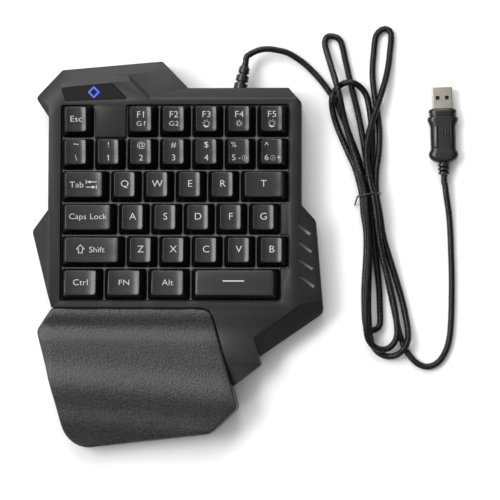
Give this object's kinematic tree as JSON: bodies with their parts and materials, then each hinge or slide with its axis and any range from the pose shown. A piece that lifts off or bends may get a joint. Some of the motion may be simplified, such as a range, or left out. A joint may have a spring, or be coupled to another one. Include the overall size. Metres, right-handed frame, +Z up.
{
  "type": "one-handed gaming keypad",
  "caption": "One-handed wired keypad: rows of sprung keycaps in an angular shell with a waved palm rest, a tied hank of braided cord and a USB plug.",
  "frame": {"origin": "on the table, under the middle of the case's outline, without the cord and its plug", "axes": "+X to the user's right, +Y away from the user towards the back edge, +Z up from the table"},
  "size_m": [0.2494, 0.2491, 0.0294],
  "materials": {
    "backlight_acrylic": "light-guide acrylic",
    "badge_glass": "smoked acrylic, polished",
    "cover_abs": "black ABS, fine spark-eroded texture",
    "board_resin": "glass-filled epoxy board, solder mask",
    "cord_braid": "black braided nylon sleeve",
    "screw_steel": "zinc-plated steel",
    "foot_rubber": "self-adhesive rubber",
    "keycap_abs": "black coated ABS, satin",
    "key_frame_abs": "light grey ABS plate",
    "membrane_film": "printed polyester film",
    "palm_soft_touch": "black soft-touch paint over ABS",
    "dome_rubber": "moulded silicone rubber",
    "plug_pvc": "moulded black PVC",
    "tie_wire": "plastic-coated wire",
    "plug_steel": "nickel-plated steel sheet",
    "plug_insulator": "moulded white insulator"
  },
  "bodies": {
    "case": {"backlight_sheet": "backlight_acrylic", "badge_window": "badge_glass", "bottom_cover": "cover_abs", "controller_board": "board_resin", "cord_hank": "cord_braid", "cord_lead": "cord_braid", "cord_tail": "cord_braid", "cover_screw_head": "screw_steel", "cover_screw_palm": "screw_steel", "cover_screw_wing": "screw_steel", "foot_back_left": "foot_rubber", "foot_back_right": "foot_rubber", "foot_front_right": "foot_rubber", "foot_palm": "foot_rubber", "key_frame": "key_frame_abs", "membrane_sheet": "membrane_film", "palm_rest": "palm_soft_touch", "rubber_dome_mat": "dome_rubber", "strain_relief": "plug_pvc", "top_cover": "cover_abs", "twist_tie": "tie_wire", "usb_plug_overmould": "plug_pvc", "usb_plug_shell": "plug_steel", "usb_plug_tongue": "plug_insulator"},
    "key_1": {"key_1": "keycap_abs"},
    "key_2": {"key_2": "keycap_abs"},
    "key_3": {"key_3": "keycap_abs"},
    "key_4": {"key_4": "keycap_abs"},
    "key_5": {"key_5": "keycap_abs"},
    "key_6": {"key_6": "keycap_abs"},
    "key_a": {"key_a": "keycap_abs"},
    "key_alt": {"key_alt": "keycap_abs"},
    "key_b": {"key_b": "keycap_abs"},
    "key_c": {"key_c": "keycap_abs"},
    "key_caps_lock": {"key_caps_lock": "keycap_abs"},
    "key_ctrl": {"key_ctrl": "keycap_abs"},
    "key_d": {"key_d": "keycap_abs"},
    "key_e": {"key_e": "keycap_abs"},
    "key_esc": {"key_esc": "keycap_abs"},
    "key_f": {"key_f": "keycap_abs"},
    "key_f1": {"key_f1": "keycap_abs"},
    "key_f2": {"key_f2": "keycap_abs"},
    "key_f3": {"key_f3": "keycap_abs"},
    "key_f4": {"key_f4": "keycap_abs"},
    "key_f5": {"key_f5": "keycap_abs"},
    "key_fn": {"key_fn": "keycap_abs"},
    "key_g": {"key_g": "keycap_abs"},
    "key_grave": {"key_grave": "keycap_abs"},
    "key_q": {"key_q": "keycap_abs"},
    "key_r": {"key_r": "keycap_abs"},
    "key_s": {"key_s": "keycap_abs"},
    "key_shift": {"key_shift": "keycap_abs"},
    "key_space": {"key_space": "keycap_abs"},
    "key_t": {"key_t": "keycap_abs"},
    "key_tab": {"key_tab": "keycap_abs"},
    "key_v": {"key_v": "keycap_abs"},
    "key_w": {"key_w": "keycap_abs"},
    "key_x": {"key_x": "keycap_abs"},
    "key_z": {"key_z": "keycap_abs"}
  },
  "joints": [
    {"name": "key_1_press", "type": "slide", "parent": "case", "child": "key_1", "axis": [0, 0, -1], "range_m": [0, 0.0035], "stiffness_N_per_m": 170, "deforming": ["rubber_dome_mat"]},
    {"name": "key_2_press", "type": "slide", "parent": "case", "child": "key_2", "axis": [0, 0, -1], "range_m": [0, 0.0035], "stiffness_N_per_m": 170, "deforming": ["rubber_dome_mat"]},
    {"name": "key_3_press", "type": "slide", "parent": "case", "child": "key_3", "axis": [0, 0, -1], "range_m": [0, 0.0035], "stiffness_N_per_m": 170, "deforming": ["rubber_dome_mat"]},
    {"name": "key_4_press", "type": "slide", "parent": "case", "child": "key_4", "axis": [0, 0, -1], "range_m": [0, 0.0035], "stiffness_N_per_m": 170, "deforming": ["rubber_dome_mat"]},
    {"name": "key_5_press", "type": "slide", "parent": "case", "child": "key_5", "axis": [0, 0, -1], "range_m": [0, 0.0035], "stiffness_N_per_m": 170, "deforming": ["rubber_dome_mat"]},
    {"name": "key_6_press", "type": "slide", "parent": "case", "child": "key_6", "axis": [0, 0, -1], "range_m": [0, 0.0035], "stiffness_N_per_m": 170, "deforming": ["rubber_dome_mat"]},
    {"name": "key_a_press", "type": "slide", "parent": "case", "child": "key_a", "axis": [0, 0, -1], "range_m": [0, 0.0035], "stiffness_N_per_m": 170, "deforming": ["rubber_dome_mat"]},
    {"name": "key_alt_press", "type": "slide", "parent": "case", "child": "key_alt", "axis": [0, 0, -1], "range_m": [0, 0.0035], "stiffness_N_per_m": 170, "deforming": ["rubber_dome_mat"]},
    {"name": "key_b_press", "type": "slide", "parent": "case", "child": "key_b", "axis": [0, 0, -1], "range_m": [0, 0.0035], "stiffness_N_per_m": 170, "deforming": ["rubber_dome_mat"]},
    {"name": "key_c_press", "type": "slide", "parent": "case", "child": "key_c", "axis": [0, 0, -1], "range_m": [0, 0.0035], "stiffness_N_per_m": 170, "deforming": ["rubber_dome_mat"]},
    {"name": "key_caps_lock_press", "type": "slide", "parent": "case", "child": "key_caps_lock", "axis": [0, 0, -1], "range_m": [0, 0.0035], "stiffness_N_per_m": 170, "deforming": ["rubber_dome_mat"]},
    {"name": "key_ctrl_press", "type": "slide", "parent": "case", "child": "key_ctrl", "axis": [0, 0, -1], "range_m": [0, 0.0035], "stiffness_N_per_m": 170, "deforming": ["rubber_dome_mat"]},
    {"name": "key_d_press", "type": "slide", "parent": "case", "child": "key_d", "axis": [0, 0, -1], "range_m": [0, 0.0035], "stiffness_N_per_m": 170, "deforming": ["rubber_dome_mat"]},
    {"name": "key_e_press", "type": "slide", "parent": "case", "child": "key_e", "axis": [0, 0, -1], "range_m": [0, 0.0035], "stiffness_N_per_m": 170, "deforming": ["rubber_dome_mat"]},
    {"name": "key_esc_press", "type": "slide", "parent": "case", "child": "key_esc", "axis": [0, 0, -1], "range_m": [0, 0.0035], "stiffness_N_per_m": 170, "deforming": ["rubber_dome_mat"]},
    {"name": "key_f_press", "type": "slide", "parent": "case", "child": "key_f", "axis": [0, 0, -1], "range_m": [0, 0.0035], "stiffness_N_per_m": 170, "deforming": ["rubber_dome_mat"]},
    {"name": "key_f1_press", "type": "slide", "parent": "case", "child": "key_f1", "axis": [0, 0, -1], "range_m": [0, 0.0035], "stiffness_N_per_m": 170, "deforming": ["rubber_dome_mat"]},
    {"name": "key_f2_press", "type": "slide", "parent": "case", "child": "key_f2", "axis": [0, 0, -1], "range_m": [0, 0.0035], "stiffness_N_per_m": 170, "deforming": ["rubber_dome_mat"]},
    {"name": "key_f3_press", "type": "slide", "parent": "case", "child": "key_f3", "axis": [0, 0, -1], "range_m": [0, 0.0035], "stiffness_N_per_m": 170, "deforming": ["rubber_dome_mat"]},
    {"name": "key_f4_press", "type": "slide", "parent": "case", "child": "key_f4", "axis": [0, 0, -1], "range_m": [0, 0.0035], "stiffness_N_per_m": 170, "deforming": ["rubber_dome_mat"]},
    {"name": "key_f5_press", "type": "slide", "parent": "case", "child": "key_f5", "axis": [0, 0, -1], "range_m": [0, 0.0035], "stiffness_N_per_m": 170, "deforming": ["rubber_dome_mat"]},
    {"name": "key_fn_press", "type": "slide", "parent": "case", "child": "key_fn", "axis": [0, 0, -1], "range_m": [0, 0.0035], "stiffness_N_per_m": 170, "deforming": ["rubber_dome_mat"]},
    {"name": "key_g_press", "type": "slide", "parent": "case", "child": "key_g", "axis": [0, 0, -1], "range_m": [0, 0.0035], "stiffness_N_per_m": 170, "deforming": ["rubber_dome_mat"]},
    {"name": "key_grave_press", "type": "slide", "parent": "case", "child": "key_grave", "axis": [0, 0, -1], "range_m": [0, 0.0035], "stiffness_N_per_m": 170, "deforming": ["rubber_dome_mat"]},
    {"name": "key_q_press", "type": "slide", "parent": "case", "child": "key_q", "axis": [0, 0, -1], "range_m": [0, 0.0035], "stiffness_N_per_m": 170, "deforming": ["rubber_dome_mat"]},
    {"name": "key_r_press", "type": "slide", "parent": "case", "child": "key_r", "axis": [0, 0, -1], "range_m": [0, 0.0035], "stiffness_N_per_m": 170, "deforming": ["rubber_dome_mat"]},
    {"name": "key_s_press", "type": "slide", "parent": "case", "child": "key_s", "axis": [0, 0, -1], "range_m": [0, 0.0035], "stiffness_N_per_m": 170, "deforming": ["rubber_dome_mat"]},
    {"name": "key_shift_press", "type": "slide", "parent": "case", "child": "key_shift", "axis": [0, 0, -1], "range_m": [0, 0.0035], "stiffness_N_per_m": 170, "deforming": ["rubber_dome_mat"]},
    {"name": "key_space_press", "type": "slide", "parent": "case", "child": "key_space", "axis": [0, 0, -1], "range_m": [0, 0.0035], "stiffness_N_per_m": 170, "deforming": ["rubber_dome_mat"]},
    {"name": "key_t_press", "type": "slide", "parent": "case", "child": "key_t", "axis": [0, 0, -1], "range_m": [0, 0.0035], "stiffness_N_per_m": 170, "deforming": ["rubber_dome_mat"]},
    {"name": "key_tab_press", "type": "slide", "parent": "case", "child": "key_tab", "axis": [0, 0, -1], "range_m": [0, 0.0035], "stiffness_N_per_m": 170, "deforming": ["rubber_dome_mat"]},
    {"name": "key_v_press", "type": "slide", "parent": "case", "child": "key_v", "axis": [0, 0, -1], "range_m": [0, 0.0035], "stiffness_N_per_m": 170, "deforming": ["rubber_dome_mat"]},
    {"name": "key_w_press", "type": "slide", "parent": "case", "child": "key_w", "axis": [0, 0, -1], "range_m": [0, 0.0035], "stiffness_N_per_m": 170, "deforming": ["rubber_dome_mat"]},
    {"name": "key_x_press", "type": "slide", "parent": "case", "child": "key_x", "axis": [0, 0, -1], "range_m": [0, 0.0035], "stiffness_N_per_m": 170, "deforming": ["rubber_dome_mat"]},
    {"name": "key_z_press", "type": "slide", "parent": "case", "child": "key_z", "axis": [0, 0, -1], "range_m": [0, 0.0035], "stiffness_N_per_m": 170, "deforming": ["rubber_dome_mat"]}
  ]
}
